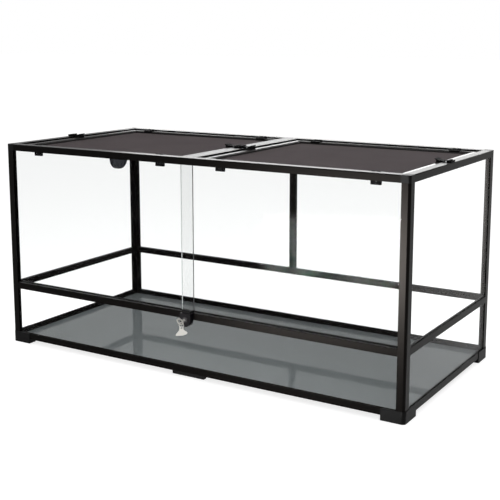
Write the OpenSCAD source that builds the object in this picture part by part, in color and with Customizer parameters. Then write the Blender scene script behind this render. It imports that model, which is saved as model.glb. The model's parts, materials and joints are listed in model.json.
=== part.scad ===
// Reptile terrarium: slotted black frame, glass panes, two sliding front doors,
// two lift-off screen tops, a front lock and a cable port. Millimetres, +Z up.
// The origin is on the floor, at the middle of the outline seen from above.

/* [Overall] */
// Length of the frame along the front
frame_w = 1220; // [900:1:1500]
// Depth of the frame, front face to rear face
frame_d = 575; // [450:1:700]
// Height of the top rails' upper face above the floor
frame_h = 576; // [480:1:800]
// Height of the front mid rail's upper face above the floor
mid_h = 177; // [140:1:240]

/* [Frame profiles] */
// Height of every rail's face
rail_h = 18; // [18:0.5:22]
// Depth of the top, bottom and front mid rails
rail_d = 24; // [23.5:0.5:28]
// Depth of the side and rear mid rails and of the rear centre post
slim_d = 12; // [11:0.5:16]
// Width of a post's front or rear leg
post_x = 22; // [20:0.5:26]
// Width of a post's side leg
post_y = 25; // [23:0.5:30]
// Thickness of a post's legs
post_t = 8.5; // [8.2:0.1:8.9]
// Radius of a post's outer corner
post_r = 6; // [3:0.5:7]
// Width of the rear centre post
centre_post_w = 20; // [19:0.5:30]
// Distance that a pane's edge goes into its groove
pane_bite = 7; // [5:0.5:8]
// Clearance between a pane and its groove, each side
pane_gap = 0.2; // [0.1:0.05:0.4]

/* [Glass and base] */
// Thickness of the fixed panes
pane_t = 5; // [4:0.5:5]
// Thickness of the sliding doors
door_t = 4; // [3:0.5:4]
// Overlap of the two closed doors
door_overlap = 40; // [30:1:60]
// Travel of each door
door_travel = 550; // [300:5:550]
// Thickness of the base panel
base_t = 3; // [2:0.5:6]

/* [Door tracks] */
// Thickness of a track's walls
track_wall = 1.4; // [1:0.1:1.5]
// Clearance between a door and its slot, each side
door_gap = 0.3; // [0.2:0.05:0.5]
// Depth of the lower track's slots
lower_slot = 6.5; // [5:0.5:8]
// Depth of the upper track's slots
upper_slot = 10.4; // [9:0.2:11]

/* [Feet] */
// Height of the rails' undersides above the floor
foot_drop = 12; // [10:1:25]
// Length of a corner foot along the front or rear rail
foot_x = 60; // [45:1:90]
// Length of a corner foot along a side rail
foot_y = 66; // [45:1:90]
// Distance that a foot stands proud of the frame's faces
foot_proud = 1.5; // [1.2:0.1:3]
// Radius of a corner foot's outer corner
foot_r = 9.5; // [6:0.5:10]
// Depth of the socket that takes a post's end
post_socket = 10; // [6:1:14]
// Length of the middle feet
middle_foot_w = 100; // [60:1:160]

/* [Screen tops] */
// Width of the crossbar between the two screens
crossbar_w = 44; // [40:1:60]
// Clearance round each screen
screen_gap = 2.5; // [2:0.1:4]
// Width of a screen frame's bars
bar_w = 20; // [16:0.5:26]
// Height of a screen frame's bars
bar_h = 11; // [9:0.5:11.5]
// Depth of the ledge under a screen frame
ledge_d = 8; // [5:0.5:12]
// Thickness of the ledge
ledge_t = 2.5; // [1.5:0.1:3]
// Thickness of the screen's wire net
net_t = 1; // [0.6:0.1:1.5]
// Meshes of the net along each side
net_count = 17; // [8:1:17]
// Width of the net's wires
net_wire = 2.2; // [1.5:0.1:4]
// Distance of a snap clip from the middle of its screen
clip_reach = 211; // [120:1:215]
// Width of a snap clip
clip_w = 28; // [20:1:36]
// Distance that a clip's finger tab hangs below the rail
clip_drop = 13; // [8:0.5:16]
// Distance of the slide latches from the frame's front face
latch_y = 268; // [200:1:320]
// Travel of a slide latch
latch_travel = 6; // [3:0.5:6]

/* [Cable port] */
// Radius of the port's flanges
port_r = 36; // [32:1:45]
// Distance of the port's centre from the rear face
port_back = 90; // [85:1:160]
// Distance of the port's centre below the top of the frame
port_down = 90; // [70:1:200]

/* [Lock] */
// Width of the lock's body
lock_w = 32; // [28:1:40]
// Height of the lock's body
lock_h = 35; // [33:1:50]
// Distance that the lock's body stands in front of the frame
lock_d = 15; // [13:0.5:20]
// Radius of the lock's cylinder
cylinder_r = 6.5; // [5.5:0.5:7]
// Throw of the lock's bolt when the key is turned a quarter turn
bolt_travel = 4.5; // [3:0.5:5]
// Distance of the lock's centre line to the right of the frame's middle
lock_offset = 10; // [0:1:20]
// Distance of the key's head in front of the frame
key_out = 36; // [32:1:45]
// Radius of the key's head
key_head_r = 10.5; // [9:0.5:12]

/* [Hidden] */
$fn = 48;
eps = 0.01;

// Colours
frame_black = [0.05, 0.05, 0.055];
plastic_black = [0.08, 0.08, 0.085];
screen_grey = [0.30, 0.28, 0.28];
clear_glass = [0.85, 0.93, 0.92, 0.3];
base_grey = [0.45, 0.46, 0.47];
steel = [0.78, 0.78, 0.76];

// Heights of the rails
base_top = foot_drop + rail_h;
mid_z = mid_h - rail_h;
top_z = frame_h - rail_h;

// Grooves: one width for every fixed pane, centred in the posts' legs
groove_w = pane_t + 2 * pane_gap;
groove_in = (post_t - groove_w) / 2;
groove_depth = pane_bite + 1;
pane_in = (post_t - pane_t) / 2;

// Base panel: it lies on the bottom rails' inner ledge
panel_ledge = 1.2;
panel_gap = 0.3;

// Rail chambers that the connectors' tongues fill
chamber_w = 11.6;
chamber_h = 3;
tongue_l = 25;
tongue_gap = 0.2;
top_chamber_z = rail_h - 5.6;
base_chamber = 5;
base_chamber_in = (post_t - base_chamber) / 2;
base_chamber_z = 2;

// Door planes, from the front face
track_pocket = post_t - 0.8;
slot_w = door_t + 2 * door_gap;
track_w = 3 * track_wall + 2 * slot_w;
track_y = track_pocket + 0.1;
front_door_y = track_y + track_wall + door_gap;
rear_door_y = front_door_y + slot_w + track_wall;
track_floor = 1.8;
lower_track_h = lower_slot + track_floor;
upper_track_h = upper_slot + 1;
door_z = mid_h - lower_slot + 0.5;
door_top = top_z + upper_slot - 2;
jamb_x = post_t + 0.1;
jamb_w = 6;
door_end = jamb_x + 2;
door_inner = (frame_w + door_overlap) / 2;

// Screens
screen_sink = 4;
screen_z = frame_h - screen_sink - bar_h;
screen_x0 = rail_d + screen_gap;
screen_x1 = (frame_w - crossbar_w) / 2 - screen_gap;
screen_w = screen_x1 - screen_x0;
screen_y0 = rail_d + screen_gap;
screen_d = frame_d - 2 * screen_y0;
right_screen_x0 = frame_w - screen_x1;
net_z = screen_z + 3;
net_bite = 5;
net_gap = 0.1;
clip_t = 1.6;
clip_gap = 0.4;
clip_tab_t = 6;
clip_notch = clip_w + 3;

// Slide latches
keeper_w = 28;
keeper_x = 11;
keeper_h = 6;
keeper_slot = 2.6;
latch_w = 24;
latch_t = 2.2;
tongue_w = 15;
latch_z = frame_h + 1.7;
latch_rest = 0.5;
rib_t = 1.5;

// Cable port
port_y = frame_d - port_back;
port_z = frame_h - port_down;
port_hole_r = 0.8 * port_r;
port_wall = 3;
port_disc_t = 2.5;
port_pin_r = 4;
port_window_r = port_hole_r - port_wall - 2;

// Lock
lock_x = frame_w / 2 + lock_offset;
lock_z0 = mid_h - lock_h;
cylinder_z = mid_h - 16;
cylinder_gap = 0.05;
bolt_w = 14;
bolt_t = 3.2;
bolt_gap = 0.2;
bolt_y = -6.6;
bolt_z = cylinder_z - 9;
crank_r = bolt_travel / 2 / sin(45);
crank_pin_r = 1.2;
catch_w = 26;
catch_h = 5;
catch_gap = 0.4;
key_roll = 45;
key_t = 1.6;
key_hole_r = 6.5;
key_blade_w = 5;
ring_r = 7;
ring_wire = 0.8;
ring_y = -key_out + 2;
ring_hang = 3.4;
ring_x = lock_x + ring_hang * sin(key_roll);
ring_z = cylinder_z - ring_hang * cos(key_roll) - ring_r;
tag_t = 1.2;
tag_turn = 31;

// Middle of the outline seen from above
key_reach = key_out + key_head_r;
mid_y = (frame_d + foot_proud - key_reach) / 2;

// Puts a piece drawn from the frame's front left corner about the origin.
module placed() {
    translate([-frame_w / 2, -mid_y, 0]) children();
}

// Mirrors a piece drawn at the left to the right end.
module at_right(right) {
    if (right) translate([frame_w, 0, 0]) mirror([1, 0, 0]) children();
    else children();
}

// Mirrors a piece drawn at the front to the rear.
module at_rear(rear) {
    if (rear) translate([0, frame_d, 0]) mirror([0, 1, 0]) children();
    else children();
}

// Runs a profile, drawn as distance in from the outer face and height, along the front.
module along_x(x0, x1, z) {
    translate([x0, 0, z]) rotate([90, 0, 90]) linear_extrude(x1 - x0) children();
}

// Runs the same profile along the left side.
module along_y(y0, y1, z) {
    translate([0, y1, z]) rotate([90, 0, 0]) linear_extrude(y1 - y0) children();
}

// Rounds the outer corner of a square in a profile.
module round_corner(r) {
    intersection() {
        translate([r, r]) circle(r);
        square([r, r]);
    }
}

// ---- Frame ----

module post_profile() {
    difference() {
        union() {
            difference() {
                union() {
                    square([post_x, post_t]);
                    square([post_t, post_y]);
                }
                square([post_r, post_r]);
            }
            round_corner(post_r);
        }
        translate([post_x - groove_depth, groove_in]) square([groove_depth + 1, groove_w]);
        translate([groove_in, post_y - groove_depth]) square([groove_w, groove_depth + 1]);
    }
}

module post(right, rear) {
    color(frame_black) placed() at_right(right) at_rear(rear)
        translate([0, 0, base_top - post_socket])
            linear_extrude(top_z - base_top + post_socket) post_profile();
}

module base_rail_profile() {
    edge = 1.5;
    difference() {
        union() {
            translate([edge, 0]) square([rail_d - edge, panel_ledge]);
            translate([0, edge]) square([post_t, rail_h - edge]);
            round_corner(edge);
        }
        translate([groove_in, rail_h - groove_depth]) square([groove_w, groove_depth + 1]);
        translate([base_chamber_in, base_chamber_z]) square(base_chamber);
    }
}

module base_rail_x(rear) {
    color(frame_black) placed() at_rear(rear) along_x(foot_x, frame_w - foot_x, foot_drop)
        base_rail_profile();
}

module base_rail_y(right) {
    color(frame_black) placed() at_right(right) along_y(foot_y, frame_d - foot_y, foot_drop)
        base_rail_profile();
}

module mid_rail_front() {
    color(frame_black) placed() along_x(post_x, frame_w - post_x, mid_z) difference() {
        square([rail_d, rail_h]);
        translate([groove_in, -1]) square([groove_w, groove_depth + 1]);
        translate([track_pocket, rail_h - lower_track_h]) square([track_w + 0.2, lower_track_h + 1]);
    }
}

// Side and rear mid rails hold a pane below and one above.
module slim_profile() {
    difference() {
        square([slim_d, rail_h]);
        translate([groove_in, -1]) square([groove_w, groove_depth + 1]);
        translate([groove_in, rail_h - groove_depth]) square([groove_w, groove_depth + 1]);
    }
}

module mid_rail_rear() {
    color(frame_black) placed() at_rear(true) along_x(post_x, frame_w - post_x, mid_z) slim_profile();
}

module mid_rail_side(right) {
    color(frame_black) placed() at_right(right) along_y(post_y, frame_d - post_y, mid_z)
        slim_profile();
}

module rear_centre_post() {
    color(frame_black) placed() at_rear(true) translate([frame_w / 2, 0, mid_h])
        linear_extrude(top_z - mid_h) difference() {
            translate([-centre_post_w / 2, 0]) square([centre_post_w, slim_d]);
            for (side = [0, 1]) mirror([side, 0])
                translate([centre_post_w / 2 - groove_depth, groove_in])
                    square([groove_depth + 1, groove_w]);
        }
}

module top_rail_profile() {
    edge = 2;
    translate([0, rail_h]) mirror([0, 1]) round_corner(edge);
    difference() {
        union() {
            square([rail_d, rail_h - edge]);
            translate([edge, 0]) square([rail_d - edge, rail_h]);
        }
        translate([rail_d - chamber_w - 2.4, top_chamber_z]) square([chamber_w, chamber_h]);
    }
}

module ledge_profile() {
    translate([rail_d - eps, screen_z - top_z - ledge_t]) square([ledge_d + eps, ledge_t]);
}

// Room in the ledges for the snap clips' legs and for the crossbar.
module ledge_notches(z0, z1) {
    for (right = [false, true]) at_right(right) {
        for (side = [-1, 1])
            translate([(screen_x0 + screen_x1) / 2 + side * clip_reach - clip_notch / 2, rail_d, z0])
                cube([clip_notch, ledge_d + 1, z1 - z0]);
    }
    translate([(frame_w - crossbar_w) / 2, rail_d, z0]) cube([crossbar_w, ledge_d + 1, z1 - z0]);
}

module top_rail_x(rear) {
    difference() {
        union() {
            along_x(post_x + 2, frame_w - post_x - 2, top_z) difference() {
                top_rail_profile();
                if (rear) translate([groove_in, -1]) square([groove_w, groove_depth + 1]);
                else translate([track_pocket, -1]) square([track_w + 0.2, upper_track_h + 1]);
            }
            along_x(rail_d, frame_w - rail_d, top_z) ledge_profile();
        }
        ledge_notches(top_z - 1, frame_h - rail_h / 3);
    }
}

module top_rail_front() {
    color(frame_black) placed() top_rail_x(false);
}

module top_rail_rear() {
    color(frame_black) placed() at_rear(true) top_rail_x(true);
}

module top_rail_side(right) {
    color(frame_black) placed() at_right(right) union() {
        along_y(post_y, frame_d - post_y, top_z) difference() {
            top_rail_profile();
            translate([groove_in, -1]) square([groove_w, groove_depth + 1]);
        }
        along_y(rail_d + ledge_d, frame_d - rail_d - ledge_d, top_z) ledge_profile();
    }
}

// Box section with a fine line down each side of its top face.
module top_crossbar() {
    wall = 2;
    line = 0.8;
    half = crossbar_w / 2;
    color(frame_black) placed() translate([frame_w / 2, 0, 0]) union() {
        translate([0, frame_d - rail_d, top_z]) rotate([90, 0, 0])
            linear_extrude(frame_d - 2 * rail_d) difference() {
                translate([-half, 0]) square([crossbar_w, rail_h]);
                translate([wall - half, wall]) square([crossbar_w - 2 * wall, rail_h - 2 * wall]);
                for (side = [-1, 1]) translate([side * half / 2 - line / 2, rail_h - line])
                    square([line, line + 1]);
            }
        for (side = [0, 1]) mirror([side, 0, 0])
            translate([half - eps, rail_d + ledge_d, screen_z - ledge_t])
                cube([ledge_d + eps, frame_d - 2 * (rail_d + ledge_d), ledge_t]);
    }
}

// Corner block on top of a post, with a tongue in each top rail.
module top_corner(front) {
    block_x = post_x + 2;
    difference() {
        union() {
            translate([0, 0, top_z]) linear_extrude(rail_h) {
                difference() {
                    square([block_x, post_y]);
                    square([post_r, post_r]);
                }
                round_corner(post_r);
            }
            tongue_in = rail_d - chamber_w - 2.4 + tongue_gap;
            tongue_z = top_z + top_chamber_z + tongue_gap;
            translate([block_x - 1, tongue_in, tongue_z])
                cube([tongue_l, chamber_w - 2 * tongue_gap, chamber_h - 2 * tongue_gap]);
            translate([tongue_in, post_y - 1, tongue_z])
                cube([chamber_w - 2 * tongue_gap, tongue_l, chamber_h - 2 * tongue_gap]);
        }
        translate([groove_in, post_y - groove_depth, top_z - 1])
            cube([groove_w, groove_depth + 1, groove_depth + 1]);
        if (front) translate([post_t, track_pocket, top_z - 1])
            cube([block_x, track_w + 0.2, upper_track_h + 1]);
        else translate([post_x - groove_depth, groove_in, top_z - 1])
            cube([groove_depth + 3, groove_w, groove_depth + 1]);
    }
}

module top_corner_connectors() {
    color(plastic_black) placed()
        for (right = [false, true], rear = [false, true]) at_right(right) at_rear(rear)
            top_corner(!rear);
}

// ---- Feet ----

// Corner foot: takes the post's end, both bottom rails and the panes' corners.
module foot(right, rear) {
    out = foot_proud;
    color(plastic_black) placed() at_right(right) at_rear(rear) difference() {
        union() {
            translate([0, 0, 0]) linear_extrude(base_top) {
                difference() {
                    union() {
                        translate([-out, -out]) square([foot_x + out, rail_d + out]);
                        translate([-out, -out]) square([rail_d + out, foot_y + out]);
                    }
                    translate([-out, -out]) square([foot_r, foot_r]);
                }
                translate([-out, -out]) round_corner(foot_r);
            }
            tongue_z = foot_drop + base_chamber_z + tongue_gap;
            tongue_in = base_chamber_in + tongue_gap;
            tongue_side = base_chamber - 2 * tongue_gap;
            translate([foot_x - 1, tongue_in, tongue_z]) cube([tongue_l, tongue_side, tongue_side]);
            translate([tongue_in, foot_y - 1, tongue_z]) cube([tongue_side, tongue_l, tongue_side]);
        }
        // Rebate for the base panel
        translate([post_t, post_t, foot_drop + panel_ledge]) cube([foot_x, foot_y, rail_h]);
        // Socket for the post
        translate([0, 0, base_top - post_socket]) linear_extrude(post_socket + 1)
            offset_post_outline();
        // Grooves for the lower panes
        translate([post_x - 1, groove_in, base_top - groove_depth])
            cube([foot_x, groove_w, groove_depth + 1]);
        translate([groove_in, post_y - 1, base_top - groove_depth])
            cube([groove_w, foot_y, groove_depth + 1]);
    }
}

// Outline of a post's end with a little room round it.
module offset_post_outline() {
    room = 0.1;
    difference() {
        union() {
            translate([-room, -room]) square([post_x + 2 * room, post_t + 2 * room]);
            translate([-room, -room]) square([post_t + 2 * room, post_y + 2 * room]);
        }
        translate([-room, -room]) square([post_r, post_r]);
    }
    translate([-room, -room]) round_corner(post_r);
}

module middle_feet() {
    set_back = 10;
    color(plastic_black) placed() for (rear = [false, true]) at_rear(rear)
        translate([(frame_w - middle_foot_w) / 2, set_back, 0])
            cube([middle_foot_w, rail_d - set_back - 2, foot_drop]);
}

// ---- Panes and base ----

module base_panel() {
    inset = post_t + panel_gap;
    color(base_grey) placed() translate([inset, inset, foot_drop + panel_ledge])
        cube([frame_w - 2 * inset, frame_d - 2 * inset, base_t]);
}

// Pane parallel to the front, between two X positions and two heights.
module pane_x(x0, x1, z0, z1) {
    translate([x0, pane_in, z0]) cube([x1 - x0, pane_t, z1 - z0]);
}

module pane_y(z0, z1) {
    y0 = post_y - pane_bite;
    translate([pane_in, y0, z0]) cube([pane_t, frame_d - 2 * y0, z1 - z0]);
}

module lower_pane_x(rear) {
    color(clear_glass) placed() at_rear(rear)
        pane_x(post_x - pane_bite, frame_w - post_x + pane_bite,
            base_top - pane_bite, mid_z + pane_bite);
}

module lower_pane_y(right) {
    color(clear_glass) placed() at_right(right) pane_y(base_top - pane_bite, mid_z + pane_bite);
}

module left_glass_upper() {
    color(clear_glass) placed() difference() {
        pane_y(mid_h - pane_bite, top_z + pane_bite);
        translate([pane_in - 1, port_y, port_z]) rotate([0, 90, 0]) cylinder(pane_t + 2, r = port_hole_r);
    }
}

module right_glass_upper() {
    color(clear_glass) placed() at_right(true) pane_y(mid_h - pane_bite, top_z + pane_bite);
}

module rear_glass_upper(right) {
    color(clear_glass) placed() at_right(right) at_rear(true)
        pane_x(post_x - pane_bite, (frame_w - centre_post_w) / 2 + pane_bite,
            mid_h - pane_bite, top_z + pane_bite);
}

// ---- Doors ----

// Double channel for the two doors, drawn with its floor down.
module track_profile(slot_depth, floor_t) {
    difference() {
        square([track_w, slot_depth + floor_t]);
        for (lane = [0, 1])
            translate([track_wall + lane * (slot_w + track_wall), floor_t])
                square([slot_w, slot_depth + 1]);
    }
}

module lower_door_track() {
    color(plastic_black) placed()
        along_x(post_x, frame_w - post_x, mid_h - lower_track_h)
            translate([track_y, 0]) track_profile(lower_slot, track_floor);
}

module upper_door_track() {
    color(plastic_black) placed()
        along_x(post_x + 2, frame_w - post_x - 2, top_z)
            translate([track_y, upper_track_h]) mirror([0, 1])
                track_profile(upper_slot, upper_track_h - upper_slot);
}

// Upright channels in the front posts' inner corners take the doors' ends.
module door_jambs() {
    slot_x = door_end - 0.5;
    color(plastic_black) placed() for (right = [false, true]) at_right(right)
        translate([0, 0, mid_h]) linear_extrude(top_z - mid_h) difference() {
            translate([jamb_x, post_t + 0.1]) square([jamb_w, track_y + track_w - post_t - 0.1]);
            for (lane = [0, 1])
                translate([slot_x, track_y + track_wall + lane * (slot_w + track_wall)])
                    square([jamb_w, slot_w]);
        }
}

module left_door() {
    color(clear_glass) placed() translate([door_end, front_door_y, door_z])
        cube([door_inner - door_end, door_t, door_top - door_z]);
}

module right_door() {
    color(clear_glass) placed() at_right(true) translate([door_end, rear_door_y, door_z])
        cube([door_inner - door_end, door_t, door_top - door_z]);
}

// Bracket on the front door's corner that the lock's bolt goes up into.
module door_catch() {
    front = bolt_y - 3.4;
    color(plastic_black) placed() difference() {
        translate([lock_x - catch_w / 2, front, mid_h + catch_gap])
            cube([catch_w, front_door_y - front, catch_h]);
        translate([lock_x - bolt_w / 2 - 0.4, bolt_y - 0.4, mid_h])
            cube([bolt_w + 0.8, bolt_t + 0.8, catch_h + 2]);
        translate([lock_x - catch_w, front - 1, mid_h + catch_gap + catch_h]) rotate([-25, 0, 0])
            cube([2 * catch_w, 3, 8]);
    }
}

// ---- Cable port ----

module port_axis() {
    translate([0, port_y, port_z]) rotate([0, 90, 0]) children();
}

// Outside flange with the sleeve that goes through the pane.
module cable_port_outer() {
    flange = pane_in + foot_proud - 0.3;
    color(plastic_black) placed() port_axis() translate([0, 0, pane_in - flange]) difference() {
        union() {
            cylinder(flange, r = port_r);
            cylinder(flange + pane_t + 2, r = port_hole_r - 0.3);
        }
        translate([0, 0, -1]) cylinder(flange + pane_t + 4, r = port_hole_r - port_wall);
    }
}

// Half-round window, in the port's own axes, below or above the centre.
module half_window(depth) {
    difference() {
        cylinder(depth, r = port_window_r);
        translate([-port_pin_r - 3, -port_r, -1]) mirror([1, 0, 0]) cube([port_r, 2 * port_r, depth + 2]);
        translate([0, 0, -1]) cylinder(depth + 2, r = port_pin_r + 3);
        translate([-port_r, -port_r, -1]) cube([port_r + port_pin_r + 3, 2 * port_r, depth + 2]);
    }
}

// Inside flange: closes the sleeve but for the lower window, and carries the shutter's pin.
module cable_port_inner() {
    seat = pane_in + pane_t;
    plate = 2.5;
    color(plastic_black) placed() port_axis() translate([0, 0, seat]) union() {
        difference() {
            cylinder(2 + plate, r = port_r);
            translate([0, 0, -1]) cylinder(3, r = port_hole_r);
            translate([0, 0, 1]) half_window(plate + 2);
        }
        cylinder_pin = plate + 2 + port_disc_t + 1;
        translate([0, 0, 2]) cylinder(cylinder_pin - 2 + 0.3, r = port_pin_r);
        translate([0, 0, cylinder_pin + 0.3]) cylinder(1.2, r = port_pin_r + 2.5);
    }
}

// Turning disc: its window meets the flange's after half a turn.
module cable_port_shutter() {
    seat = pane_in + pane_t + 4.5 + 0.3;
    rim = 2.5;
    color(plastic_black) placed() port_axis() translate([0, 0, seat]) difference() {
        union() {
            cylinder(port_disc_t, r = port_r - 1);
            // Raised rim and two finger ribs
            difference() {
                cylinder(port_disc_t + rim, r = port_r - 1);
                translate([0, 0, -1]) cylinder(port_disc_t + rim + 2, r = port_r - 4);
            }
            for (side = [-1, 1]) translate([port_r / 2 - 2, side * 8 - 1, 0])
                cube([port_r / 2 - 4, 2, port_disc_t + 1.5]);
        }
        translate([0, 0, -1]) cylinder(port_disc_t + 2, r = port_pin_r + 0.05);
        mirror([1, 0, 0]) translate([0, 0, -1]) half_window(port_disc_t + 2);
    }
}

// ---- Lock ----

// Shield shape seen from the front, its top at z = 0.
module lock_outline() {
    half = lock_w / 2;
    round_r = half - 2;
    translate([-half, -lock_h + round_r + 2]) square([lock_w, lock_h - round_r - 2]);
    intersection() {
        translate([0, -lock_h + round_r + 2]) circle(round_r + 2);
        translate([-half, -lock_h]) square([lock_w, lock_h]);
    }
}

module lock_body() {
    color(plastic_black) placed() difference() {
        translate([lock_x, 0, mid_h]) rotate([90, 0, 0]) linear_extrude(lock_d) lock_outline();
        // Bore for the cylinder
        translate([lock_x, bolt_y + 1, cylinder_z]) rotate([90, 0, 0])
            cylinder(lock_d, r = cylinder_r + cylinder_gap);
        // Chamber for the bolt, open at the top
        translate([lock_x - bolt_w / 2 - bolt_gap, bolt_y - bolt_gap, bolt_z - bolt_gap])
            cube([bolt_w + 2 * bolt_gap, bolt_t + 2 * bolt_gap, lock_h]);
    }
}

// Moves a piece drawn about the cylinder's axis to its place, turned with the key.
module on_key_axis(y) {
    translate([lock_x, y, cylinder_z]) rotate([0, key_roll, 0]) children();
}

// Cylinder with a crank pin that lies in the bolt's slot.
module lock_cylinder() {
    back = bolt_y - 0.3;
    color(steel) placed() difference() {
        union() {
            on_key_axis(back) rotate([90, 0, 0]) cylinder(lock_d + back + 0.6, r = cylinder_r);
            on_key_axis(bolt_y + bolt_t - 0.2) translate([crank_r, 0, 0]) rotate([90, 0, 0])
                cylinder(bolt_t + 0.2, r = crank_pin_r);
        }
        on_key_axis(-lock_d - 1) translate([-key_blade_w / 2 - 0.2, 0, -key_t / 2 - 0.2])
            cube([key_blade_w + 0.4, 7, key_t + 0.4]);
    }
}

// Flat bolt: the crank pin lifts it by its cross slot.
module lock_bolt() {
    slot_gap = 0.15;
    pin_x = crank_r * cos(45);
    color(steel) placed() difference() {
        translate([lock_x - bolt_w / 2, bolt_y, bolt_z]) cube([bolt_w, bolt_t, mid_h - 0.3 - bolt_z]);
        translate([lock_x + pin_x - crank_pin_r - 0.4, bolt_y - 1,
            cylinder_z - bolt_travel / 2 - crank_pin_r - slot_gap])
                cube([crank_r - pin_x + 2 * crank_pin_r + 0.8, bolt_t + 2,
                    2 * (crank_pin_r + slot_gap)]);
    }
}

module lock_key() {
    blade_end = -lock_d + 5.5;
    color(steel) placed() on_key_axis(0) translate([0, 0, -key_t / 2]) linear_extrude(key_t)
        difference() {
            union() {
                translate([-key_blade_w / 2, -key_out]) square([key_blade_w, key_out + blade_end]);
                translate([0, -key_out]) circle(key_head_r);
            }
            translate([0, -key_out]) circle(key_hole_r);
        }
}

module key_ring() {
    color(steel) placed() translate([ring_x, ring_y, ring_z])
        rotate([90, 0, 0]) rotate_extrude() translate([ring_r, 0]) circle(ring_wire, $fn = 24);
}

// Flat fan-shaped tag that hangs on the ring.
module ring_tag() {
    color(steel) placed() translate([ring_x, ring_y, ring_z - ring_r]) rotate([90, 0, tag_turn])
        translate([0, 0, -tag_t / 2]) linear_extrude(tag_t) difference() {
            polygon([[-3, 4], [3, 4], [5, 1], [5.5, -5], [12, -9], [15.5, -12], [14, -16],
                [4, -20], [-12, -21], [-15.5, -19.5], [-12, -14], [-6, -7], [-5, 1]]);
            circle(2.8);
        }
}

// ---- Screen tops ----

// Left screen's frame: bars with a groove for the net and guides for the latches.
module screen_frame(right) {
    color(plastic_black) placed() at_right(right) difference() {
        union() {
            translate([screen_x0, screen_y0, screen_z]) cube([screen_w, screen_d, bar_h]);
            for (inner = [false, true]) latch_place(inner) latch_guides();
        }
        translate([screen_x0 + bar_w, screen_y0 + bar_w, screen_z - 1])
            cube([screen_w - 2 * bar_w, screen_d - 2 * bar_w, bar_h + 4]);
        translate([screen_x0 + bar_w - net_bite - 0.5, screen_y0 + bar_w - net_bite - 0.5, net_z - 0.1])
            cube([screen_w - 2 * (bar_w - net_bite - 0.5), screen_d - 2 * (bar_w - net_bite - 0.5),
                net_t + 0.2]);
        // Step along the inner edge
        translate([screen_x0 + bar_w - 3, screen_y0 + bar_w - 3, screen_z + bar_h - 2])
            cube([screen_w - 2 * bar_w + 6, screen_d - 2 * bar_w + 6, 3]);
    }
}

// Net of crossed wires: one layer along Y, and one along X that lies over it.
module screen_net(right) {
    net_w = screen_w - 2 * (bar_w - net_bite);
    net_d = screen_d - 2 * (bar_w - net_bite);
    step_x = (net_w - net_wire) / net_count;
    step_y = (net_d - net_wire) / net_count;
    layer_t = (net_t - net_gap) / 2;
    color(screen_grey) placed() at_right(right)
        translate([screen_x0 + bar_w - net_bite, screen_y0 + bar_w - net_bite, net_z])
            for (i = [0 : net_count]) {
                translate([i * step_x, 0, 0]) cube([net_wire, net_d, layer_t]);
                translate([0, i * step_y, layer_t + net_gap]) cube([net_w, net_wire, layer_t]);
            }
}

// Snap clip on a front bar: a leg between bar and rail, and a finger tab under the rail.
module snap_clip() {
    top = screen_z + bar_h + 0.1;
    tab_r = 1.5;
    leg_y = rail_d + clip_gap;
    bar_in = screen_y0 + bar_w + 0.1;
    translate([-clip_w / 2, 0, 0]) {
        translate([0, leg_y, top_z - 1]) cube([clip_w, clip_t, top - top_z + 1 + clip_t]);
        translate([0, leg_y, top]) cube([clip_w, bar_in - leg_y + clip_t, clip_t]);
        translate([0, bar_in, top - 4]) cube([clip_w, clip_t, 4 + clip_t]);
        // Two finger grips above the rail's top, and a low rib behind each
        for (i = [0, 1]) translate([3 + i * (clip_w - 15), leg_y, top]) {
            cube([9, 5, frame_h + 1.2 - top]);
            translate([4, 5 - eps, clip_t - eps]) cube([1, bar_w - 8, 0.7]);
        }
    }
    translate([0, leg_y + clip_tab_t, top_z - clip_drop]) rotate([90, 0, 0]) linear_extrude(clip_tab_t) {
        translate([-clip_w / 2 + 1, tab_r]) square([clip_w - 2, clip_drop - tab_r - 1]);
        translate([-clip_w / 2 + 1 + tab_r, 0]) square([clip_w - 2 - 2 * tab_r, tab_r + eps]);
        for (side = [-1, 1]) translate([side * (clip_w / 2 - 1 - tab_r), tab_r]) circle(tab_r);
    }
}

module screen_clips(right) {
    color(plastic_black) placed() at_right(right)
        for (side = [-1, 1], rear = [false, true]) at_rear(rear)
            translate([(screen_x0 + screen_x1) / 2 + side * clip_reach, 0, 0]) snap_clip();
}

// ---- Slide latches ----

// Left screen's outer latch is drawn in place; its inner one is mirrored about the screen's middle.
module latch_place(inner) {
    if (inner) translate([screen_x0 + screen_x1, 0, 0]) mirror([1, 0, 0]) children();
    else children();
}

// Keeper on the rail's top face, its mouth towards the screen.
module keeper(x0) {
    translate([x0, latch_y - keeper_w / 2, frame_h]) difference() {
        cube([keeper_x, keeper_w, keeper_h]);
        translate([3, (keeper_w - tongue_w) / 2 - 0.4, latch_z - frame_h - 0.2])
            cube([keeper_x, tongue_w + 0.8, keeper_slot]);
        translate([-1, -1, keeper_h]) rotate([0, 35, 0]) cube([6, keeper_w + 2, 4]);
    }
}

keeper_out = 2;
keeper_in = screen_x0 + screen_x1 - keeper_out - keeper_x;

module latch_keepers() {
    color(plastic_black) placed() for (right = [false, true]) at_right(right) {
        keeper(keeper_out);
        latch_place(true) keeper(keeper_out);
    }
}

module latch_guides() {
    guide_z = screen_z + bar_h - eps;
    for (side = [0, 1]) translate([screen_x0 + 1,
        latch_y + (side ? latch_w / 2 + 0.3 : -latch_w / 2 - 0.3 - rib_t), guide_z])
            cube([bar_w - 5, rib_t, 3]);
}

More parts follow.
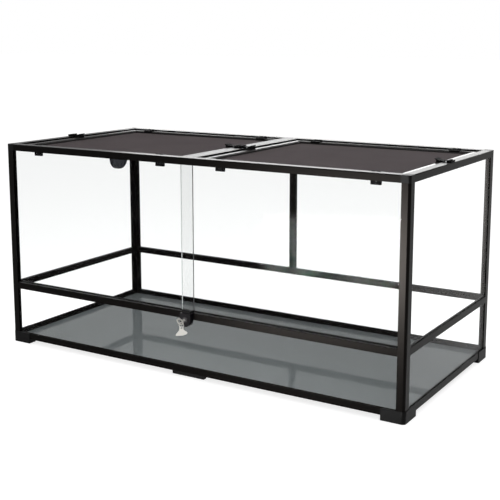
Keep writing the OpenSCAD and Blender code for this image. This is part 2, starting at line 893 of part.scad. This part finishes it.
// Slider on the bar: a tongue towards the keeper and a raised finger flap.
module slide_latch() {
    base_z = screen_z + bar_h + 0.05;
    nose_x = keeper_out + keeper_x + latch_rest;
    base_x = screen_x0 + 1;
    flap_l = 8;
    shoe_x = base_x + latch_travel;
    translate([shoe_x, latch_y - latch_w / 2, base_z])
        cube([bar_w - 6 - latch_travel, latch_w, latch_z + latch_t - base_z]);
    translate([nose_x, latch_y - tongue_w / 2, latch_z]) cube([shoe_x - nose_x + 1, tongue_w, latch_t]);
    translate([base_x + bar_w - 6 - flap_l, latch_y + latch_w / 2, latch_z + latch_t - eps])
        rotate([90, 0, 0]) linear_extrude(latch_w)
            polygon([[0, 0], [flap_l, 0], [flap_l + 4, 3.4], [flap_l + 3, 4.4]]);
}

module screen_latch(right, inner) {
    color(plastic_black) placed() at_right(right) latch_place(inner) slide_latch();
}

base_rail_x(false);  // base_rail_front
base_rail_x(true);  // base_rail_rear
base_rail_y(false);  // base_rail_left
base_rail_y(true);  // base_rail_right
post(false, false);  // post_front_left
post(true, false);  // post_front_right
post(false, true);  // post_rear_left
post(true, true);  // post_rear_right
rear_centre_post();
mid_rail_front();
mid_rail_rear();
mid_rail_side(false);  // mid_rail_left
mid_rail_side(true);  // mid_rail_right
top_rail_front();
top_rail_rear();
top_rail_side(false);  // top_rail_left
top_rail_side(true);  // top_rail_right
top_crossbar();
top_corner_connectors();
base_panel();
lower_pane_x(false);  // front_glass_lower
lower_pane_x(true);  // rear_glass_lower
lower_pane_y(false);  // left_glass_lower
lower_pane_y(true);  // right_glass_lower
left_glass_upper();
right_glass_upper();
rear_glass_upper(false);  // rear_glass_upper_left
rear_glass_upper(true);  // rear_glass_upper_right
foot(false, false);  // foot_front_left
foot(true, false);  // foot_front_right
foot(false, true);  // foot_rear_left
foot(true, true);  // foot_rear_right
middle_feet();
lower_door_track();
upper_door_track();
door_jambs();
left_door();
right_door();
door_catch();
cable_port_outer();
cable_port_inner();
cable_port_shutter();
lock_body();
lock_cylinder();
lock_bolt();
lock_key();
key_ring();
ring_tag();
screen_frame(false);  // left_screen_frame
screen_net(false);  // left_screen_net
screen_clips(false);  // left_screen_clips
screen_frame(true);  // right_screen_frame
screen_net(true);  // right_screen_net
screen_clips(true);  // right_screen_clips
latch_keepers();
screen_latch(false, false);  // left_latch_outer
screen_latch(false, true);  // left_latch_inner
screen_latch(true, true);  // right_latch_inner
screen_latch(true, false);  // right_latch_outer
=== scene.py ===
"""Looks of the reptile terrarium: black slotted frame, glass, wire screen tops and a front lock.

Metres, +Z up, the doors face -Y.
"""

import json
import math

import bmesh
import bpy
from mathutils import Matrix, Vector


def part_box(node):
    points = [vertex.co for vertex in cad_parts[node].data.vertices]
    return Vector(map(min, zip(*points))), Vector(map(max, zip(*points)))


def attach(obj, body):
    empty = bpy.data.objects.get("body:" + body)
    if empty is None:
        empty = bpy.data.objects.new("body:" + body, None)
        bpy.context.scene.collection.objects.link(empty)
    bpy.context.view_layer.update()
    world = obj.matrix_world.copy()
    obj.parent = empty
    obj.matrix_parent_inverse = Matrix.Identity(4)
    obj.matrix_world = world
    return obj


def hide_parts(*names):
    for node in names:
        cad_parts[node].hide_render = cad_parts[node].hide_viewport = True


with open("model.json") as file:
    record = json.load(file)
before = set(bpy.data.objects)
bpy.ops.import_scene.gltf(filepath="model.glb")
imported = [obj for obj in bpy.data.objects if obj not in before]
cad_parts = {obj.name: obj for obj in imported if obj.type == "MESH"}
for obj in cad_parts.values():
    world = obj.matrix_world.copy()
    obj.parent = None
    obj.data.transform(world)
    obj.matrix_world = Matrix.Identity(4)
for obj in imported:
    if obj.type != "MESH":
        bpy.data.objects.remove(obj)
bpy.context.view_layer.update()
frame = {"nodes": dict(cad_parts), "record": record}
nodes = frame["nodes"]
subparts = frame["record"]["subparts"]


# ---- Small helpers ----

def link_object(name, data):
    piece = bpy.data.objects.new(name, data)
    bpy.context.scene.collection.objects.link(piece)
    return piece


def dress(piece, material):
    """Gives every face of a piece one material."""
    piece.data.materials.clear()
    piece.data.materials.append(material)


def add_node(tree, kind, settings=None, **values):
    """A node with its settings, and its inputs by name, with _ for each space."""
    node = tree.nodes.new(kind)
    for key, value in (settings or {}).items():
        setattr(node, key, value)
    for key, value in values.items():
        node.inputs[key.replace("_", " ")].default_value = value
    return node


def math_node(tree, operation, *values, clamp=False):
    """The output of a Math node. Each value is a number, or the socket that feeds it."""
    node = add_node(tree, "ShaderNodeMath", {"operation": operation, "use_clamp": clamp})
    for socket, value in zip(node.inputs, values):
        if isinstance(value, (int, float)):
            socket.default_value = value
        else:
            tree.links.new(value, socket)
    return node.outputs[0]


def new_material(name):
    """An empty material, with its node tree and the input that its shader goes to."""
    material = bpy.data.materials.new(name)
    material.use_nodes = True
    tree = material.node_tree
    tree.nodes.clear()
    return material, tree, add_node(tree, "ShaderNodeOutputMaterial").inputs["Surface"]


def white_rays(tree):
    """1 for a ray of the camera, also through glass and off gloss, and 0 for a ray that gathers light."""
    ray = add_node(tree, "ShaderNodeLightPath")
    seen = math_node(tree, "ADD", ray.outputs["Is Camera Ray"], ray.outputs["Is Transmission Ray"], clamp=True)
    return math_node(tree, "ADD", seen, ray.outputs["Is Glossy Ray"], clamp=True)


# ---- Grain shared by the coated, moulded and metal finishes ----

GRAIN_INPUTS = (
    ("Colour", "NodeSocketColor", (0.02, 0.02, 0.02, 1)),
    ("Worn Colour", "NodeSocketColor", (0.05, 0.05, 0.05, 1)),
    ("Roughness", "NodeSocketFloat", 0.4),
    ("Unevenness", "NodeSocketFloat", 0.1),
    ("Grain Scale", "NodeSocketFloat", 900.0),
    ("Grain Depth", "NodeSocketFloat", 0.05),
)
GRAIN_OUTPUTS = (("Colour", "NodeSocketColor"), ("Roughness", "NodeSocketFloat"), ("Normal", "NodeSocketVector"))
DRIFT_SCALE = 7.0
GRAIN_RELIEF = 0.0002


def make_grain_group():
    """A fine bump, a colour that drifts and an uneven gloss."""
    tree = bpy.data.node_groups.new("coating_grain", "ShaderNodeTree")
    for label, kind, value in GRAIN_INPUTS:
        tree.interface.new_socket(label, in_out="INPUT", socket_type=kind).default_value = value
    for label, kind in GRAIN_OUTPUTS:
        tree.interface.new_socket(label, in_out="OUTPUT", socket_type=kind)
    start = add_node(tree, "NodeGroupInput")
    end = add_node(tree, "NodeGroupOutput")
    place = add_node(tree, "ShaderNodeTexCoord")

    drift = add_node(tree, "ShaderNodeTexNoise", Scale=DRIFT_SCALE, Detail=3.0)
    tree.links.new(place.outputs["Object"], drift.inputs["Vector"])
    colour = add_node(tree, "ShaderNodeMix", {"data_type": "RGBA"})
    tree.links.new(drift.outputs["Fac"], colour.inputs["Factor"])
    tree.links.new(start.outputs["Colour"], colour.inputs[6])
    tree.links.new(start.outputs["Worn Colour"], colour.inputs[7])

    grain = add_node(tree, "ShaderNodeTexNoise", Detail=4.0, Roughness=0.6)
    tree.links.new(place.outputs["Object"], grain.inputs["Vector"])
    tree.links.new(start.outputs["Grain Scale"], grain.inputs["Scale"])
    centred = math_node(tree, "SUBTRACT", grain.outputs["Fac"], 0.5)
    uneven = math_node(tree, "MULTIPLY_ADD", centred, start.outputs["Unevenness"], start.outputs["Roughness"])
    bump = add_node(tree, "ShaderNodeBump", Distance=GRAIN_RELIEF)
    tree.links.new(start.outputs["Grain Depth"], bump.inputs["Strength"])
    tree.links.new(grain.outputs["Fac"], bump.inputs["Height"])

    tree.links.new(colour.outputs[2], end.inputs["Colour"])
    tree.links.new(uneven, end.inputs["Roughness"])
    tree.links.new(bump.outputs["Normal"], end.inputs["Normal"])
    return tree


coating_grain = make_grain_group()


def coated(name, colour, worn, roughness, unevenness, scale, depth, specular, metallic=0.0, sheen=(1, 1, 1)):
    """A satin or matt finish with the shared grain. Sheen is the colour of its gloss."""
    material, tree, surface = new_material(name)
    grain = add_node(
        tree, "ShaderNodeGroup", {"node_tree": coating_grain}, Colour=(*colour, 1), Worn_Colour=(*worn, 1),
        Roughness=roughness, Unevenness=unevenness, Grain_Scale=scale, Grain_Depth=depth)
    shader = add_node(
        tree, "ShaderNodeBsdfPrincipled", Metallic=metallic, Specular_IOR_Level=specular, Specular_Tint=(*sheen, 1))
    tree.links.new(grain.outputs["Colour"], shader.inputs["Base Color"])
    tree.links.new(grain.outputs["Roughness"], shader.inputs["Roughness"])
    tree.links.new(grain.outputs["Normal"], shader.inputs["Normal"])
    tree.links.new(shader.outputs[0], surface)
    return material


# ---- Glass ----

PANE_IOR = 1.06
PANE_GLOSS = 0.1
END_FACE_NORMAL = 0.7


def clear_pane(name, tint, painted_end_shading=None):
    """Float glass that lets the lamps' light through. The ground faces at its ends in X may get a diffuse colour
    that is painted shading, a flat tone standing in for the light and shade on the glass edge.
    """
    material, tree, surface = new_material(name)
    glass = add_node(
        tree, "ShaderNodeBsdfPrincipled", Base_Color=(*tint, 1), Roughness=0.0, IOR=PANE_IOR,
        Transmission_Weight=1.0, Specular_IOR_Level=PANE_GLOSS)
    shadow = add_node(tree, "ShaderNodeBsdfTransparent", Color=(*tint, 1))
    ray = add_node(tree, "ShaderNodeLightPath")
    pane = add_node(tree, "ShaderNodeMixShader")
    tree.links.new(ray.outputs["Is Shadow Ray"], pane.inputs[0])
    tree.links.new(glass.outputs[0], pane.inputs[1])
    tree.links.new(shadow.outputs[0], pane.inputs[2])
    if painted_end_shading is None:
        tree.links.new(pane.outputs[0], surface)
        return material

    # Painted shading on the end faces: a flat diffuse tone in place of the light and shade that the glass edge
    # catches.
    ground = add_node(tree, "ShaderNodeBsdfDiffuse", Color=(*painted_end_shading, 1))
    facing = add_node(tree, "ShaderNodeNewGeometry")
    normal = add_node(tree, "ShaderNodeSeparateXYZ")
    tree.links.new(facing.outputs["True Normal"], normal.inputs[0])
    sideways = math_node(tree, "ABSOLUTE", normal.outputs["X"])
    choice = add_node(tree, "ShaderNodeMixShader")
    tree.links.new(math_node(tree, "GREATER_THAN", sideways, END_FACE_NORMAL), choice.inputs[0])
    tree.links.new(pane.outputs[0], choice.inputs[1])
    tree.links.new(ground.outputs[0], choice.inputs[2])
    tree.links.new(choice.outputs[0], surface)
    return material


# ---- Finishes ----

WARM_SHEEN = (1.0, 0.9, 0.82)
DOOR_TINT = (0.862, 0.868, 0.866)

frame_coat = coated(
    "frame_black_coat", (0.002, 0.0018, 0.0018), (0.003, 0.0027, 0.0026),
    roughness=0.32, unevenness=0.08, scale=1400, depth=0.03, specular=0.03, sheen=WARM_SHEEN)
post_coat = coated(
    "post_black_coat", (0.002, 0.0018, 0.0018), (0.003, 0.0027, 0.0026),
    roughness=0.32, unevenness=0.08, scale=1400, depth=0.03, specular=0.04, sheen=WARM_SHEEN)
moulded_black = coated(
    "foot_black_plastic", (0.0045, 0.0045, 0.0045), (0.006, 0.006, 0.006),
    roughness=0.45, unevenness=0.1, scale=1100, depth=0.08, specular=0.05)
track_black = coated(
    "track_black_plastic", (0.004, 0.004, 0.0045), (0.006, 0.006, 0.0065),
    roughness=0.35, unevenness=0.1, scale=900, depth=0.05, specular=0.05)
port_black = coated(
    "port_blue_black_plastic", (0.010, 0.012, 0.018), (0.016, 0.018, 0.026),
    roughness=0.4, unevenness=0.12, scale=1000, depth=0.08, specular=0.2)
screen_black = coated(
    "screen_bar_black_plastic", (0.009, 0.008, 0.0078), (0.013, 0.0115, 0.011),
    roughness=0.3, unevenness=0.1, scale=1000, depth=0.05, specular=0.25)
clip_black = coated(
    "clip_black_plastic", (0.004, 0.004, 0.0045), (0.006, 0.0058, 0.0058),
    roughness=0.6, unevenness=0.1, scale=1200, depth=0.06, specular=0.02)
lock_black = coated(
    "lock_black_enamel", (0.003, 0.003, 0.004), (0.005, 0.004, 0.006),
    roughness=0.28, unevenness=0.08, scale=1300, depth=0.04, specular=0.08)
base_grey = coated(
    "base_grey_glossy_sheet", (0.124, 0.136, 0.139), (0.127, 0.139, 0.142),
    roughness=0.008, unevenness=0.004, scale=500, depth=0.0, specular=0.045)
wire_dark = coated(
    "net_dark_wire_coat", (0.058, 0.048, 0.050), (0.076, 0.063, 0.065),
    roughness=0.5, unevenness=0.1, scale=1500, depth=0.05, specular=0.12)
nickel = coated(
    "key_satin_nickel", (0.60, 0.59, 0.55), (0.48, 0.47, 0.44),
    roughness=0.45, unevenness=0.15, scale=1800, depth=0.08, specular=0.05, metallic=0.1)
dark_nickel = coated(
    "cylinder_dark_plate", (0.045, 0.043, 0.045), (0.03, 0.03, 0.032),
    roughness=0.35, unevenness=0.1, scale=1800, depth=0.04, specular=0.5, metallic=1.0)
pane_glass = clear_pane("pane_clear_glass", (0.985, 0.99, 0.988))
# Both doors are the same glass. The left door's end colour is a painted dark shade and the right door's end colour
# is a painted highlight.
left_door_glass_shaded_end = clear_pane("left_door_glass_shaded_end", DOOR_TINT, painted_end_shading=(0.16, 0.165, 0.165))
right_door_glass_lit_end = clear_pane("right_door_glass_lit_end", DOOR_TINT, painted_end_shading=(0.55, 0.57, 0.57))

SLOT_FINISH = {
    "black_frame": frame_coat,
    "clear_glass": pane_glass,
    "black_mouldings": moulded_black,
    "black_tracks": track_black,
    "black_port": port_black,
    "grey_base": base_grey,
    "lock_black": lock_black,
    "bright_steel": nickel,
    "screen_frame_black": screen_black,
    "screen_net": wire_dark,
    "clip_black": clip_black,
}
NODE_FINISH = {
    "post_front_left": post_coat,
    "post_front_right": post_coat,
    "post_rear_left": post_coat,
    "post_rear_right": post_coat,
    "left_door": left_door_glass_shaded_end,
    "right_door": right_door_glass_lit_end,
    "lock_cylinder": dark_nickel,
}

for part in subparts:
    node_name = part["node"]
    dress(nodes[node_name], NODE_FINISH.get(node_name, SLOT_FINISH[part["material_slot"]]))


# ---- Softer edges on the carried-over solids ----

WELD_REACH = 0.00001
MOULDED_EDGE = 0.0006
COATED_EDGE = 0.0004
SLOT_EDGE = {
    "black_mouldings": MOULDED_EDGE,
    "screen_frame_black": MOULDED_EDGE,
    "clip_black": MOULDED_EDGE,
    "lock_black": COATED_EDGE,
    "black_frame": COATED_EDGE,
    "grey_base": COATED_EDGE,
}


def soften(piece, width):
    """Merges a piece's loose triangles and rounds its sharp edges, as modifiers."""
    weld = piece.modifiers.new("weld", "WELD")
    weld.merge_threshold = WELD_REACH
    bevel = piece.modifiers.new("edge", "BEVEL")
    bevel.width = width
    bevel.segments = 2
    bevel.limit_method = "ANGLE"
    bevel.angle_limit = math.radians(40)
    bevel.use_clamp_overlap = True


for part in subparts:
    if part["material_slot"] in SLOT_EDGE:
        soften(nodes[part["node"]], SLOT_EDGE[part["material_slot"]])


# ---- Wire nets of the screen tops ----

WIRE_PITCH = 0.002
WIRE_WIDTH = 0.0006
LAYER_LIFT = 0.0002


def wire_net(name, replaced, body):
    """Crossed wires, every strand a four-sided rod, in the place of the coarse net."""
    low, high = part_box(replaced)
    mesh = bpy.data.meshes.new(name)
    bm = bmesh.new()
    for along, across, axis, lift in ((0, 1, "Y", LAYER_LIFT), (1, 0, "X", -LAYER_LIFT)):
        reach = high[across] - low[across]
        count = int(reach / WIRE_PITCH)
        step = (reach - WIRE_WIDTH) / count
        turn = Matrix.Rotation(math.radians(90), 4, axis)
        centre = [(low[k] + high[k]) / 2 for k in range(3)]
        centre[2] += lift
        for k in range(count + 1):
            centre[across] = low[across] + WIRE_WIDTH / 2 + k * step
            bmesh.ops.create_cone(
                bm, cap_ends=True, segments=4, radius1=WIRE_WIDTH / 2, radius2=WIRE_WIDTH / 2,
                depth=high[along] - low[along], matrix=Matrix.Translation(centre) @ turn)
    bm.to_mesh(mesh)
    bm.free()
    piece = link_object(name, mesh)
    dress(piece, wire_dark)
    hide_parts(replaced)
    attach(piece, body)


wire_net("left_wire_net", "left_screen_net", "left_screen")
wire_net("right_wire_net", "right_screen_net", "right_screen")


# ---- Floor, light and camera ----

FLOOR_HALF = 30
FLOOR_DROP = 0.0005
FLOOR_GREY = 0.5
FLOOR_GLOW = 0.78
WORLD_LIGHT = 0.55


def white_floor():
    """Plain pale floor. What looks at it through glass or in a reflection sees it white too."""
    mesh = bpy.data.meshes.new("floor")
    bm = bmesh.new()
    bmesh.ops.create_grid(bm, x_segments=1, y_segments=1, size=FLOOR_HALF)
    bmesh.ops.translate(bm, verts=bm.verts, vec=(0, 0, -FLOOR_DROP))
    bm.to_mesh(mesh)
    bm.free()
    floor = link_object("floor", mesh)
    material, tree, surface = new_material("floor_white")
    paper = add_node(tree, "ShaderNodeBsdfDiffuse", Color=(FLOOR_GREY, FLOOR_GREY, FLOOR_GREY, 1))
    glow = add_node(tree, "ShaderNodeEmission")
    tree.links.new(math_node(tree, "MULTIPLY", white_rays(tree), FLOOR_GLOW), glow.inputs["Strength"])
    total = add_node(tree, "ShaderNodeAddShader")
    tree.links.new(paper.outputs[0], total.inputs[0])
    tree.links.new(glow.outputs[0], total.inputs[1])
    tree.links.new(total.outputs[0], surface)
    dress(floor, material)


def white_world():
    """White to the camera, also through glass and in gloss, and dimmer as a light."""
    world = bpy.data.worlds.new("studio")
    bpy.context.scene.world = world
    world.use_nodes = True
    tree = world.node_tree
    tree.nodes.clear()
    output = add_node(tree, "ShaderNodeOutputWorld")
    light = add_node(tree, "ShaderNodeBackground", Color=(1, 1, 1, 1), Strength=WORLD_LIGHT)
    white = add_node(tree, "ShaderNodeBackground", Color=(1, 1, 1, 1), Strength=1.0)
    mix = add_node(tree, "ShaderNodeMixShader")
    tree.links.new(white_rays(tree), mix.inputs[0])
    tree.links.new(light.outputs[0], mix.inputs[1])
    tree.links.new(white.outputs[0], mix.inputs[2])
    tree.links.new(mix.outputs[0], output.inputs["Surface"])


def softbox(name, place, target, width, height, power, diffuse=True):
    """A rectangular lamp that the camera doesn't see. One that isn't diffuse shows only in gloss."""
    data = bpy.data.lights.new(name, "AREA")
    data.shape = "RECTANGLE"
    data.size = width
    data.size_y = height
    data.energy = power
    lamp = link_object(name, data)
    lamp.location = place
    lamp.rotation_euler = (Vector(target) - Vector(place)).to_track_quat("-Z", "Y").to_euler()
    lamp.visible_camera = False
    lamp.visible_transmission = False
    lamp.visible_diffuse = diffuse


PHOTO_WIDTH = 500
FOCAL_LENGTH = 994
SENSOR_WIDTH = 36
CAMERA_PLACE = (1.439, -2.285, 0.883)
CAMERA_AZIMUTH = math.radians(31.6)
CAMERA_PITCH = math.radians(9.51)


def photo_camera():
    """The photograph's viewpoint, right of the front and looking slightly down. Focal length is in pixels."""
    data = bpy.data.cameras.new("camera")
    data.sensor_width = SENSOR_WIDTH
    data.lens = FOCAL_LENGTH / PHOTO_WIDTH * SENSOR_WIDTH
    data.shift_y = -0.1
    data.clip_end = 100
    camera = link_object("camera", data)
    camera.location = CAMERA_PLACE
    camera.rotation_euler = (math.pi / 2 - CAMERA_PITCH, 0, CAMERA_AZIMUTH)
    bpy.context.scene.camera = camera


white_floor()
white_world()
softbox("softbox_top", (0, 0.2, 2.6), (0, 0, 0.5), width=2.6, height=1.8, power=30)
softbox("softbox_front", (0.0, -1.9, 0.45), (0.3, -0.2, 0.3), width=0.8, height=0.8, power=5)
softbox("softbox_back", (-0.9, 2.4, 1.15), (0, 0, 0.57), width=2.4, height=0.7, power=26, diffuse=False)
softbox("softbox_sheen", (0.03, -1.1, 0.15), (0.5, -0.1, 0.2), width=0.56, height=0.28, power=42, diffuse=False)
photo_camera()
bpy.context.scene.view_settings.view_transform = "Standard"
